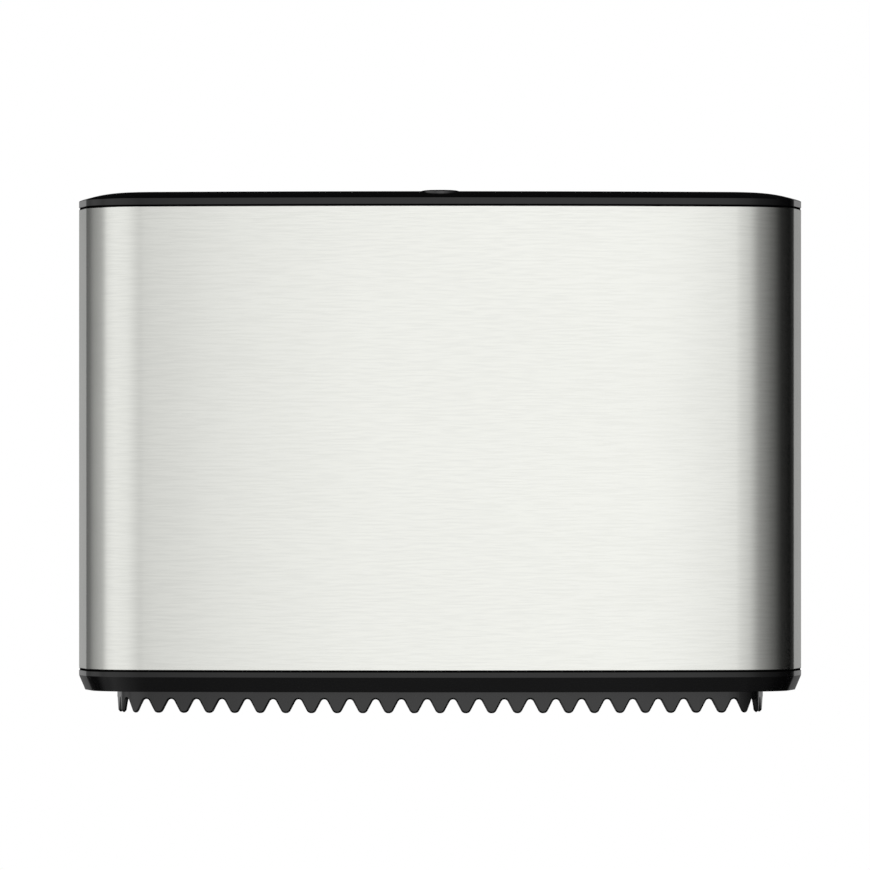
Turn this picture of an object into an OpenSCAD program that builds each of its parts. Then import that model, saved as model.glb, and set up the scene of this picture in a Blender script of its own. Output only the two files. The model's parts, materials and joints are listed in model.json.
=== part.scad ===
// Wall-mounted jumbo toilet roll dispenser with a bottom-hinged steel-fronted cover.
// X runs across the front, Y runs back into the wall (the wall face is y = 0), Z is up.
// The origin is on the wall face, at the middle of the steel front's height.

/* [Overall] */
// Width across the rear edge of the cover, where it is widest
cover_w = 375; // [350:1:400]
// Depth from the wall to the foremost point of the front
body_depth = 133; // [128:1:145]
// Height of the steel front
steel_h = 238; // [230:1:255]
// Depth of the cover, from its foremost point to its rear edge
cover_depth = 75; // [70:1:82]
// Radius of the slow bow across the front
front_bow_r = 870; // [700:10:1200]
// Radius of the two upright front corners
corner_r = 38; // [37:1:44]
// Angle by which the sides open out towards the wall
side_flare = 8.8; // [6:0.2:11]

/* [Front shell] */
// Thickness of the steel sheet
steel_t = 0.8; // [0.6:0.1:1.2]
// Thickness of the plastic liner behind the steel
liner_t = 2.2; // [1.8:0.1:3]
// Height of the shadow gaps above and below the steel
shadow_gap = 0.9; // [0.6:0.1:1.5]
// How far the spacer in a shadow gap sits back from the outside
gap_setback = 0.4; // [0.3:0.1:1]
// Width of a screw tab inside the liner
tab_w = 13; // [11:1:16]
// Reach of a screw tab in from the outside
tab_reach = 15; // [14:0.5:18]
// Thickness of a screw tab
tab_t = 2.5; // [2:0.1:3.5]
// Distance of the inner and the outer screw tabs from the middle
tab_x = [55, 138]; // [40:1:150]
// Distance of a tab's screw in from the outside
tab_screw_inset = 9.5; // [9:0.1:10.5]
// Thickness of a stiffening rib inside the liner
liner_rib_t = 1.6; // [1.2:0.1:2.2]
// Height of a stiffening rib inside the liner
liner_rib_h = 3; // [2:0.1:4]
// Distance of the stiffening ribs from the middle
liner_rib_x = [0, 95]; // [0:1:120]

/* [Top cap] */
// Height of the upright strip round the cap
cap_strip_h = 3.3; // [3:0.1:5]
// Rise of the cap's crown above its strip
crown_rise = 3.9; // [2:0.1:4.5]
// Width over which the crown rises
crown_run = 24; // [22:1:36]
// Thickness of the cap at its edge
cap_t = 2.2; // [1.8:0.1:2.5]

/* [Bottom trim] */
// Height of the upright strip round the trim
trim_strip_h = 2.6; // [2:0.1:4]
// Height of the slanted face under the strip
chamfer_h = 7.6; // [6:0.1:9]
// How far the slanted face runs in
chamfer_in = 3.2; // [3:0.1:5.5]
// Thickness of the trim's wall
trim_wall_t = 2.2; // [1.8:0.1:2.6]
// Thickness of the trim's floor
trim_floor_t = 3; // [2.6:0.1:3.6]
// Length of the solid ends that carry the hinge
trim_end_l = 12; // [10:0.5:12.5]

/* [Tear skirt] */
// Distance of the skirt in from the outside of the cover
skirt_inset = 18.5; // [17.5:0.1:20]
// Thickness of the skirt
skirt_t = 2.4; // [2:0.1:3]
// Height of the skirt that shows below the trim
skirt_drop = 11.1; // [10:0.1:13]
// Thickness of the flange that holds the skirt
skirt_flange_t = 2; // [1.6:0.1:2.4]
// Distance from one tooth to the next
tooth_pitch = 13.25; // [12.5:0.05:13.6]
// Height of a tooth
tooth_h = 7.1; // [6:0.1:8]
// Radius of a tooth's tip
tip_r = 2.5; // [1.8:0.1:2.8]
// Angle of a tooth's flank from upright
flank_angle = 28; // [25:1:31]
// Number of teeth on each side of the middle one
side_teeth = 14; // [12:1:14]

/* [Rear housing] */
// Thickness of the back plate
plate_t = 3; // [2.5:0.1:4]
// Thickness of the housing's walls
wall_t = 2.5; // [2:0.1:3]
// Length of the walls that reach into the cover
tongue_l = 5; // [3:0.5:6]
// Radius of the housing's upper corners
housing_corner_r = 14; // [8:1:20]
// Height of the back plate's ribs
plate_rib_h = 4; // [2:0.5:5]
// Thickness of the back plate's ribs
plate_rib_t = 2; // [1.5:0.1:3]
// Distance of the long ribs in from the top and the bottom edges
plate_rib_in = 20; // [14:1:26]
// Distance between the wall screws across
wall_hole_x = 240; // [220:1:250]
// Distance between the wall screws up
wall_hole_z = 130; // [120:1:140]
// Radius of a wall screw hole
wall_hole_r = 2.75; // [2.6:0.05:2.9]
// Radius of the boss round a wall screw hole
wall_boss_r = 9; // [8:0.5:11]
// Height of the boss round a wall screw hole
wall_boss_h = 3; // [2:0.5:5]

/* [Hinge] */
// Distance of the hinge axis behind the cover's rear edge
hinge_back = 6; // [6:0.1:7]
// Depth of the hinge axis below the steel front
hinge_drop = 4; // [3.8:0.1:5]
// Radius of a hinge pin
hinge_pin_r = 2.5; // [2:0.1:2.8]
// Radius of the eyes on the cover
hinge_eye_r = 5; // [4.6:0.1:5.2]
// Radius of the lugs on the housing
hinge_lug_r = 5.3; // [4.8:0.1:5.4]
// Width of an eye on the cover
hinge_eye_w = 12.8; // [10:0.1:14]
// Thickness of the inner hinge web of the housing
hinge_web_t = 3; // [2.5:0.1:4]
// Reach of the heel that stops the open cover
heel_l = 9; // [8:0.1:10]
// Depth of the heel below the hinge axis
heel_h = 4.5; // [4:0.1:4.8]
// Radius of a hinge pin's head
hinge_head_r = 4; // [3.5:0.1:4.5]
// Thickness of a hinge pin's head
hinge_head_t = 1.4; // [1:0.1:1.8]

/* [Lock and latch] */
// Distance of the push button's middle behind the front
button_back = 19.5; // [19:0.5:22]
// Radius of the push button
button_r = 10.3; // [9.8:0.1:11]
// Height of the push button above the crown
button_rise = 0.4; // [0.3:0.1:1]
// Radius of the flat on top of the push button
button_flat_r = 5.7; // [5.5:0.1:7]
// Height of the rounded edge of the push button
button_edge_h = 1; // [0.8:0.1:1.5]
// Travel of the push button
button_travel = 2.6; // [2.4:0.1:2.8]
// Depth of the push button below the cap
button_depth = 7.4; // [7:0.1:8]
// Width of the rim that keeps the push button in
button_rim = 2; // [1.5:0.1:2.4]
// Thickness of the rim that keeps the push button in
button_rim_t = 1.5; // [1.2:0.1:2]
// Radius of the key plug in the push button
plug_r = 5.2; // [4.6:0.1:5.3]
// Radius of the key plug's tail
tail_r = 3; // [2.5:0.1:3.2]
// Width of the key slot
key_slot_w = 1.4; // [1:0.1:2]
// Length of the key slot
key_slot_l = 6.4; // [5:0.1:7]
// Depth of the key slot
key_slot_d = 4; // [3:0.5:6]
// Reach of the locking cam from the plug's middle
cam_reach = 8.5; // [7.5:0.1:9]
// Width of the locking cam
cam_w = 5; // [4:0.1:6]
// Thickness of the locking cam
cam_t = 2; // [1.6:0.1:2.4]
// Distance of the locking cam below the push button
cam_drop = 9; // [8.6:0.1:9.4]
// Distance behind the button's middle at which it presses on the latch
nose_back = 4; // [3.5:0.1:4.5]
// Distance of the latch pivot behind the point where the button presses
latch_front_arm = 20; // [18:0.5:21]
// Distance of the hook's face behind the latch pivot
latch_rear_arm = 26.2; // [25.5:0.1:27]
// Radius of the latch pivot pin
pivot_pin_r = 1.5; // [1.2:0.1:1.8]
// Depth of the latch pivot below the push button's lower end
pivot_drop = 8; // [7.5:0.1:8.5]
// Width of the latch lever
lever_w = 9; // [8:0.5:10]
// Thickness of the latch lever
lever_t = 4; // [3.5:0.1:4.5]
// Overlap of the hook behind the keeper's lip
hook_grip = 2.3; // [2:0.1:2.4]
// Length of the hook's tooth from front to back
hook_l = 3.6; // [3:0.1:4.5]
// Thickness of the bracket that carries the latch
bracket_t = 2; // [1.6:0.1:2.6]
// Depth of the latch bracket's floor below the push button's lower end
bracket_drop = 14; // [13.8:0.1:15]
// Inner width of the latch bracket
bracket_w = 26; // [25:1:30]
// Width of the bracket's screw flanges
bracket_flange = 10; // [9:0.5:12]
// Thickness of the keeper's sheet metal
keeper_t = 1.6; // [1.2:0.1:2]
// Width of the keeper
keeper_w = 22; // [18:1:23]
// Height of the keeper's lip
keeper_lip = 6.4; // [6:0.1:8]
// Length of the keeper's screw leaf
keeper_leaf = 18; // [16:1:24]
// Mean radius of the latch spring
latch_spring_r = 3; // [2.5:0.1:3.4]
// Wire thickness of the latch spring
latch_wire = 0.6; // [0.5:0.05:0.7]
// Turns of the latch spring
latch_turns = 4.5; // [3.5:0.5:5]

/* [Roll spindles] */
// Diameter of the largest full roll
roll_d = 200; // [185:1:210]
// Diameter of the largest used-down roll on the reserve peg
stub_d = 120; // [100:1:130]
// Space kept round a roll
roll_gap = 6; // [4:0.5:9]
// Height of the reserve peg, from the middle of the front
stub_z = -30; // [-45:1:-20]
// Radius of the main spindle's shaft
spindle_r = 6; // [5:0.1:7]
// Radius of the reserve peg's shaft
peg_r = 5; // [4:0.1:6]
// Radius of the main spindle's foot
foot_r = 24; // [22:0.5:26]
// Radius of the reserve peg's foot
peg_foot_r = 18; // [17:0.5:20]
// Thickness of a spindle's foot
foot_t = 4; // [3:0.1:5]
// Radius of the tube of the main hub
hub_tube_r = 15; // [13:0.5:17]
// Radius over the main hub's fins, which grip the core
hub_fin_r = 24; // [22:0.5:26]
// Radius of the tube of the reserve hub
peg_tube_r = 13; // [12:0.5:14]
// Radius over the reserve hub's fins
peg_fin_r = 18; // [16:0.5:20]
// Radius of the disc behind the main roll
hub_disc_r = 42; // [36:1:46]
// Radius of the disc behind the reserve roll
peg_disc_r = 30; // [26:1:34]
// Thickness of the discs and the fins
hub_wall_t = 2.4; // [2:0.1:3]
// Number of fins on a hub
fin_count = 3; // [3:1:6]
// Distance from a hub's front end to the inside of the cover
hub_front_gap = 8; // [6:0.5:12]
// Length of the spindle end that carries the cap nut
hub_end_l = 4; // [3:0.5:5]
// Radius of the cap nut on the main spindle's end
end_cap_r = 9; // [8:0.5:10]
// Space between a spindle's foot and its hub, where the brake spring sits
brake_gap = 8; // [7:0.5:10]
// Thickness of the brake washer
washer_t = 1.5; // [1:0.1:2]
// Mean radius of the brake spring
brake_spring_r = 9; // [8.5:0.1:10]
// Wire thickness of the brake spring
brake_wire = 1; // [0.8:0.1:1.2]
// Turns of the brake spring
brake_turns = 3; // [2.5:0.5:3]

/* [Fixings] */
// Radius of a screw's shank
screw_r = 1.5; // [1.3:0.1:1.6]
// Radius of a screw's head
screw_head_r = 2.8; // [2.6:0.1:3]
// Height of a screw's head
screw_head_h = 1.8; // [1.4:0.1:2]
// Length of a screw in its second piece
screw_bite = 2.2; // [1.8:0.1:2.3]
// Width of the cross slot in a screw's head
cross_w = 0.8; // [0.6:0.1:1]
// Length of the cross slot in a screw's head
cross_l = 3; // [2.4:0.1:3.4]
// Depth of the cross slot in a screw's head
cross_d = 1; // [0.8:0.1:1.2]

/* [Clearances] */
// Gap between a shaft and its hole
running_gap = 0.06; // [0.03:0.01:0.09]
// Gap round a sliding or moving piece
moving_gap = 0.3; // [0.25:0.05:0.4]
// Gap between the cover and the housing's walls
cover_gap = 0.6; // [0.5:0.1:1]
// Gap on each side of a hinge eye
eye_gap = 0.6; // [0.4:0.1:0.8]
// Gap between pieces that are assembled by hand
seat_gap = 0.2; // [0.1:0.05:0.3]

/* [Hidden] */
round_fn = 64;
small_fn = 32;
over = 1;

// Levels, from the middle of the steel front
steel_top = steel_h / 2;
steel_bottom = -steel_h / 2;
cap_bottom = steel_top + shadow_gap;
cap_edge = cap_bottom + cap_strip_h;
cap_under = cap_edge - cap_t;
crown_top = cap_edge + crown_rise;
trim_top = steel_bottom - shadow_gap;
trim_strip_bottom = trim_top - trim_strip_h;
trim_bottom = trim_strip_bottom - chamfer_h;
tooth_tip_z = trim_bottom - skirt_drop;

// Plan outline of the cover
front_y = -body_depth;
split_y = front_y + cover_depth;
half_w = cover_w / 2;
cover_t = steel_t + liner_t;
bow_y0 = front_y + front_bow_r;
side_n = [cos(side_flare), -sin(side_flare)];
side_back = [sin(side_flare), cos(side_flare)];
side_q = [half_w, split_y - bow_y0] - corner_r * side_n;
side_b = side_q * side_back;
side_t = side_b + sqrt(side_b * side_b - side_q * side_q + pow(front_bow_r - corner_r, 2));
corner_c = [0, bow_y0] + side_q - side_t * side_back;
bow_angle = asin(corner_c.x / (front_bow_r - corner_r));
corner_angle = 90 - side_flare;
corner_steps = 14;
bow_steps = 20;

function out(a) = [sin(a), -cos(a)];
function side_x(inset, y) = half_w - inset / cos(side_flare) + (y - split_y) * tan(side_flare);
function corner_point(inset, a) = corner_c + (corner_r - inset) * out(a);
function bow_point(inset, a) = [0, bow_y0] + (front_bow_r - inset) * out(a);
function bow_y(x, inset) = bow_y0 - sqrt(pow(front_bow_r - inset, 2) - x * x);
function half_outline(inset, rear) = concat(
    [[side_x(inset, rear), rear]],
    [for (k = [0 : corner_steps])
        corner_point(inset, corner_angle + (bow_angle - corner_angle) * k / corner_steps)],
    [for (k = [1 : bow_steps / 2]) bow_point(inset, bow_angle * (1 - 2 * k / bow_steps))]
);
function outline(inset, rear) =
    let (h = half_outline(inset, rear), n = len(h))
    concat(h, [for (k = [n - 2 : -1 : 0]) [-h[k].x, h[k].y]]);

// Point and heading at a distance along the outline from its middle: [x, y, angle]
function along(s, inset) =
    let (
        bow_l = (front_bow_r - inset) * bow_angle * PI / 180,
        turn_l = (corner_r - inset) * (corner_angle - bow_angle) * PI / 180,
        bow_a = s / (front_bow_r - inset) * 180 / PI,
        turn_a = bow_angle + (s - bow_l) / (corner_r - inset) * 180 / PI,
        p = s < bow_l ? bow_point(inset, bow_a)
            : s < bow_l + turn_l ? corner_point(inset, turn_a)
            : corner_point(inset, corner_angle) + (s - bow_l - turn_l) * side_back
    )
    [p.x, p.y, s < bow_l ? bow_a : min(turn_a, corner_angle)];

module plan(inset, rear = split_y) {
    polygon(outline(inset, rear));
}

module slab(z0, z1, inset, rear = split_y) {
    translate([0, 0, z0]) linear_extrude(z1 - z0) plan(inset, rear);
}

// Upright band that follows the outline and is open at the back
module band(z0, z1, outer, inner, rear = split_y) {
    difference() {
        slab(z0, z1, outer, rear);
        slab(z0 - over, z1 + over, inner, rear + over);
    }
}

// Cylinder that points out from the wall
module forward(x, y, z, r, l, fn = round_fn) {
    translate([x, y, z]) rotate([90, 0, 0]) cylinder(h = l, r = r, $fn = fn);
}

// Cylinder that lies across, from x0 to x1
module across(x0, x1, y, z, r, fn = round_fn) {
    translate([x0, y, z]) rotate([0, 90, 0]) cylinder(h = x1 - x0, r = r, $fn = fn);
}

// Box given by its two corners
module box(low, high) {
    translate(low) cube(high - low);
}

module both_sides() {
    children();
    mirror([1, 0, 0]) children();
}

// Screw with its head's underside at the origin and its shank pointing down
module screw(l) {
    difference() {
        union() {
            cylinder(h = screw_head_h, r = screw_head_r, $fn = small_fn);
            translate([0, 0, -l]) cylinder(h = l, r = screw_r, $fn = small_fn);
        }
        for (turn = [0, 90]) {
            rotate([0, 0, turn])
                translate([-cross_l / 2, -cross_w / 2, screw_head_h - cross_d])
                cube([cross_l, cross_w, cross_d + over]);
        }
    }
}

// Round wire wound on a helix that stands on z = 0
module coil(mean_r, wire, turns, h) {
    rings = 8;
    sides = 6;
    n = rings * turns;
    rise = h - wire;
    pts = [for (k = [0 : n], j = [0 : sides - 1])
        let (a = 360 * k / rings, b = 360 * j / sides, r = mean_r + wire / 2 * cos(b))
        [r * cos(a), r * sin(a), wire / 2 + rise * k / n + wire / 2 * sin(b)]];
    skin = [for (k = [0 : n - 1], j = [0 : sides - 1], t = [0, 1])
        let (m = (j + 1) % sides, a = k * sides, c = a + sides)
        t == 0 ? [a + j, c + j, c + m] : [a + j, c + m, a + m]];
    ends = [for (j = [1 : sides - 2], t = [0, 1])
        t == 0 ? [0, j, j + 1] : [n * sides, n * sides + j + 1, n * sides + j]];
    polyhedron(points = pts, faces = concat(skin, ends), convexity = 8);
}

// ---------------------------------------------------------------- front shell

tab_levels = [steel_top - tab_t, steel_bottom];

module tab_places(inset) {
    both_sides() for (x = tab_x) translate([x, bow_y(x, inset), 0]) children();
}

module steel_front() {
    color("silver") band(steel_bottom, steel_top, 0, steel_t);
}

module liner_tab(x, z) {
    intersection() {
        slab(z, z + tab_t, steel_t + liner_t / 2);
        box([x - tab_w / 2, front_y, z - over],
            [x + tab_w / 2, bow_y(x, tab_reach), z + tab_t + over]);
    }
}

module liner_rib(x) {
    intersection() {
        slab(steel_bottom + tab_t, steel_top - tab_t, steel_t + liner_t / 2);
        box([x - liner_rib_t / 2, front_y, steel_bottom],
            [x + liner_rib_t / 2, bow_y(x, cover_t + liner_rib_h), latch_floor - over]);
    }
}

module cover_liner() {
    color([0.12, 0.12, 0.125]) difference() {
        union() {
            band(steel_bottom, steel_top, steel_t, cover_t);
            both_sides() {
                for (x = tab_x, z = tab_levels) liner_tab(x, z);
                for (x = liner_rib_x) liner_rib(x);
            }
        }
        tab_places(tab_screw_inset) {
            translate([0, 0, steel_bottom - over])
                cylinder(h = steel_h + 2 * over, r = screw_r + seat_gap, $fn = small_fn);
        }
    }
}

// ---------------------------------------------------------------- top cap

crown_steps = 8;
crown_power = 0.8;
crown_spread = 1.8;
leaf = 0.02;

function crown_inset(k) = crown_run * pow(k / crown_steps, crown_spread);
function crown_z(inset) = crown_rise * pow(1 - pow(1 - inset / crown_run, 2), crown_power);

button_y = front_y + button_back;
button_bore_r = button_r + moving_gap;

module cap_crown() {
    hull() {
        slab(cap_bottom, cap_edge, 0);
        for (k = [1 : crown_steps]) {
            slab(cap_edge, cap_edge + crown_z(crown_inset(k)), crown_inset(k));
        }
    }
}

module top_cap() {
    color([0.03, 0.03, 0.035]) difference() {
        union() {
            cap_crown();
            slab(steel_top, cap_bottom + leaf, gap_setback);
        }
        difference() {
            slab(steel_top - over, cap_under, cover_t, split_y + over);
            tab_places(tab_screw_inset) {
                translate([0, 0, steel_top])
                    cylinder(h = steel_h, r = screw_r + liner_t, $fn = small_fn);
            }
        }
        translate([0, button_y, 0]) cylinder(h = crown_top + over, r = button_bore_r, $fn = round_fn);
        tab_places(tab_screw_inset) {
            cylinder(h = steel_top + screw_bite, r = screw_r, $fn = small_fn);
        }
        bracket_screw_places() cylinder(h = screw_bite, r = screw_r, $fn = small_fn);
    }
}

module cap_screws() {
    color("gainsboro") tab_places(tab_screw_inset) {
        translate([0, 0, steel_top - tab_t]) mirror([0, 0, 1]) screw(tab_t + screw_bite);
    }
}

// ---------------------------------------------------------------- bottom trim

hinge_y = split_y + hinge_back;
hinge_z = steel_bottom - hinge_drop;
trim_floor_top = trim_bottom + trim_floor_t;
trim_inner_inset = trim_wall_t + chamfer_in;
skirt_screw_inset = (trim_inner_inset + skirt_inset) / 2 + seat_gap;
skirt_screw_x = [0, 95];
trim_boss_r = screw_r + liner_t;

module trim_body() {
    hull() {
        slab(trim_strip_bottom, trim_top, 0);
        slab(trim_bottom, trim_bottom + leaf, chamfer_in);
    }
}

module trim_channel() {
    hull() {
        slab(trim_strip_bottom, steel_bottom + over, trim_wall_t, split_y - trim_end_l);
        slab(trim_floor_top, trim_floor_top + leaf, trim_inner_inset, split_y - trim_end_l);
    }
}

module skirt_screw_places() {
    both_sides() for (x = skirt_screw_x) translate([x, bow_y(x, skirt_screw_inset), 0]) children();
    both_sides() {
        p = along((side_teeth - 0.5) * tooth_pitch, skirt_screw_inset);
        translate([p.x, p.y, 0]) children();
    }
}

module hinge_eye() {
    across(eye_x0, eye_x1, hinge_y, hinge_z, hinge_eye_r);
    box([eye_x0, split_y - trim_end_l / 2, hinge_z - heel_h],
        [eye_x1, hinge_y, hinge_z + hinge_eye_r / 2]);
    box([eye_x0, hinge_y, hinge_z - heel_h], [eye_x1, hinge_y + heel_l, hinge_z]);
}

module bottom_trim() {
    color([0.08, 0.08, 0.085]) difference() {
        union() {
            difference() {
                union() {
                    trim_body();
                    band(trim_top - leaf, steel_bottom, gap_setback, cover_t);
                }
                trim_channel();
                slab(trim_bottom - over, steel_bottom + over, skirt_inset - seat_gap, split_y + over);
            }
            tab_places(tab_screw_inset) {
                translate([0, 0, trim_bottom + leaf])
                    cylinder(h = steel_bottom - trim_bottom - leaf, r = trim_boss_r, $fn = small_fn);
            }
            both_sides() hinge_eye();
        }
        tab_places(tab_screw_inset) {
            translate([0, 0, steel_bottom - screw_bite])
                cylinder(h = screw_bite + over, r = screw_r, $fn = small_fn);
        }
        skirt_screw_places() {
            translate([0, 0, trim_floor_top - screw_bite])
                cylinder(h = screw_bite + over, r = screw_r, $fn = small_fn);
        }
        both_sides() across(eye_x0 - over, eye_x1 + over, hinge_y, hinge_z, hinge_pin_r + running_gap);
    }
}

module trim_screws() {
    color("gainsboro") tab_places(tab_screw_inset) {
        translate([0, 0, steel_bottom + tab_t]) screw(tab_t + screw_bite);
    }
}

// ---------------------------------------------------------------- tear skirt

tip_flat = 0.2;
round_steps = 6;
steep = 90 - flank_angle;
rise_sum = (tooth_pitch / 2 - tip_flat - tooth_h * tan(flank_angle))
    / (sin(steep) - (1 - cos(steep)) * tan(flank_angle));
valley_r = rise_sum - tip_r;
skirt_rear = along((side_teeth + 0.5) * tooth_pitch, skirt_inset).y;

// Right half of the gap between two teeth, from the tip up to the valley
function valley_half() =
    let (w = tooth_pitch / 2 - tip_flat)
    concat(
        [[w, -over]],
        [for (k = [0 : round_steps])
            let (a = steep * k / round_steps) [w - tip_r * sin(a), tip_r * (1 - cos(a))]],
        [for (k = [round_steps : -1 : 1])
            let (a = steep * k / round_steps) [valley_r * sin(a), tooth_h - valley_r * (1 - cos(a))]]
    );

module valley() {
    h = valley_half();
    n = len(h);
    polygon(concat(h, [[0, tooth_h]], [for (k = [n - 1 : -1 : 0]) [-h[k].x, h[k].y]]));
}

module valley_cut(s) {
    cut_l = 4 * skirt_t;
    p = along(s, skirt_inset);
    translate([p.x, p.y, tooth_tip_z]) rotate([0, 0, p[2]]) rotate([90, 0, 0])
        translate([0, 0, -cut_l / 2]) linear_extrude(cut_l) valley();
}

module tear_skirt() {
    flange_top = trim_floor_top + skirt_flange_t;
    color([0.2, 0.2, 0.21]) difference() {
        union() {
            band(tooth_tip_z, flange_top, skirt_inset, skirt_inset + skirt_t, skirt_rear);
            band(trim_floor_top, flange_top, trim_inner_inset + over, skirt_inset + skirt_t,
                split_y - trim_end_l - seat_gap);
        }
        both_sides() for (k = [0 : side_teeth]) valley_cut((k + 0.5) * tooth_pitch);
        tab_places(tab_screw_inset) {
            translate([0, 0, trim_floor_top - over])
                cylinder(h = skirt_flange_t + 2 * over, r = trim_boss_r + seat_gap, $fn = small_fn);
        }
        skirt_screw_places() {
            translate([0, 0, trim_floor_top - over])
                cylinder(h = skirt_flange_t + 2 * over, r = screw_r + seat_gap, $fn = small_fn);
        }
    }
}

module skirt_screws() {
    color("gainsboro") skirt_screw_places() {
        translate([0, 0, trim_floor_top + skirt_flange_t]) screw(skirt_flange_t + screw_bite);
    }
}

// ---------------------------------------------------------------- rear housing

tongue_y = split_y - tongue_l;
housing_w = 2 * (side_x(cover_t, tongue_y) - cover_gap);
housing_in = housing_w / 2 - wall_t;
housing_top = cap_under - cover_gap;
roof_under = housing_top - wall_t;
housing_h = housing_top - steel_bottom;
eye_x1 = housing_in - eye_gap;
eye_x0 = eye_x1 - hinge_eye_w;
web_x = eye_x0 - eye_gap;
shelf_under = hinge_z + heel_l + moving_gap;

main_c = [housing_in - roll_gap - roll_d / 2, roof_under - roll_gap - roll_d / 2];
stub_c = [-(housing_in - roll_gap - stub_d / 2), stub_z];

// Outline of the housing seen from the front, with its upper corners rounded
module housing_face(in) {
    r = housing_corner_r - in;
    half = housing_w / 2 - in;
    top = housing_top - in;
    translate([-half, steel_bottom - (in > 0 ? over : 0)])
        square([2 * half, top - r - steel_bottom + (in > 0 ? over : 0)]);
    translate([-half + r, steel_bottom]) square([2 * half - 2 * r, top - steel_bottom]);
    both_sides() translate([half - r, top - r]) circle(r = r, $fn = round_fn);
}

module housing_prism(in, y0, y1) {
    translate([0, y0, 0]) rotate([90, 0, 0]) linear_extrude(y0 - y1) housing_face(in);
}

module wall_hole_places() {
    for (x = [-wall_hole_x / 2, wall_hole_x / 2], z = [-wall_hole_z / 2, wall_hole_z / 2]) {
        translate([x, 0, z]) children();
    }
}

module hinge_side() {
    lug_top = hinge_z + 2 * hinge_lug_r;
    for (x = [[web_x - hinge_web_t, web_x], [housing_in, housing_in + wall_t]]) {
        across(x[0], x[1], hinge_y, hinge_z, hinge_lug_r);
        box([x[0], hinge_y - hinge_lug_r, hinge_z], [x[1], hinge_y + hinge_lug_r, lug_top]);
    }
    box([web_x - hinge_web_t, hinge_y - hinge_lug_r, steel_bottom], [web_x, 0, shelf_under + hinge_web_t]);
    box([web_x - hinge_web_t, hinge_y - hinge_lug_r, shelf_under],
        [housing_in + wall_t / 2, 0, shelf_under + hinge_web_t]);
}

module plate_ribs() {
    y0 = -plate_t - plate_rib_h;
    rib_in = housing_in + wall_t / 2;
    for (z = [roof_under - plate_rib_in, steel_bottom + plate_rib_in]) {
        box([-rib_in, y0, z - plate_rib_t / 2], [rib_in, 0, z + plate_rib_t / 2]);
    }
    for (x = [-wall_hole_x / 2, 0, wall_hole_x / 2]) {
        box([x - plate_rib_t / 2, y0, steel_bottom], [x + plate_rib_t / 2, 0, roof_under + wall_t / 2]);
    }
}

module back_plate() {
    plate_face = -plate_t;
    color([0.1, 0.1, 0.105]) difference() {
        union() {
            difference() {
                housing_prism(0, 0, tongue_y);
                housing_prism(wall_t, plate_face, tongue_y - over);
            }
            plate_ribs();
            wall_hole_places() {
                forward(0, 0, 0, wall_boss_r, plate_t + wall_boss_h);
            }
            forward(main_c.x, 0, main_c.y, foot_r + wall_t, plate_t + plate_rib_h);
            forward(stub_c.x, 0, stub_c.y, peg_foot_r + wall_t, plate_t + plate_rib_h);
            both_sides() hinge_side();
        }
        wall_hole_places() {
            forward(0, over, 0, wall_hole_r, plate_t + wall_boss_h + plate_rib_h + 2 * over);
        }
        foot_screw_places(main_c, foot_r) translate([0, 0, -foot_bite]) foot_pilot();
        foot_screw_places(stub_c, peg_foot_r) translate([0, 0, -foot_bite]) foot_pilot();
        both_sides() {
            across(web_x - hinge_web_t - over, half_w, hinge_y, hinge_z, hinge_pin_r + running_gap);
        }
        keeper_screw_places() {
            translate([0, 0, -over]) cylinder(h = screw_bite + over, r = screw_r, $fn = small_fn);
        }
    }
}

module hinge_pin() {
    across(web_x - hinge_web_t, housing_w / 2 + leaf, hinge_y, hinge_z, hinge_pin_r);
    across(housing_w / 2, housing_w / 2 + hinge_head_t, hinge_y, hinge_z, hinge_head_r);
}

module hinge_pin_right() {
    color("lightgray") hinge_pin();
}

module hinge_pin_left() {
    color("lightgray") mirror([1, 0, 0]) hinge_pin();
}

// ---------------------------------------------------------------- roll spindles

foot_y = -plate_t - plate_rib_h;
foot_bite = 5;
foot_screw_count = 3;
hub_rear_y = foot_y - foot_t - brake_gap;

// Places of a foot's screws: the local z axis points out from the wall at the foot's rear face
module foot_screw_places(c, r) {
    ring_r = r - screw_head_r - over;
    for (k = [0 : foot_screw_count - 1]) {
        a = 90 + 360 * k / foot_screw_count;
        translate([c.x + ring_r * cos(a), foot_y, c.y + ring_r * sin(a)]) rotate([90, 0, 0]) children();
    }
}

module foot_pilot() {
    cylinder(h = foot_bite + over, r = screw_r, $fn = small_fn);
}

function hub_front(c) = bow_y(c.x, cover_t) + hub_front_gap + hub_end_l;

module spindle(c, shaft_r, r) {
    tip = hub_front(c) - hub_end_l;
    difference() {
        union() {
            forward(c.x, foot_y, c.y, r, foot_t);
            forward(c.x, foot_y, c.y, shaft_r, foot_y - tip);
        }
        foot_screw_places(c, r) {
            translate([0, 0, -over]) cylinder(h = foot_t + 2 * over, r = screw_r + seat_gap, $fn = small_fn);
        }
    }
}

module foot_screws(c, r) {
    foot_screw_places(c, r) translate([0, 0, foot_t]) screw(foot_t + foot_bite - seat_gap);
}

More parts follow.
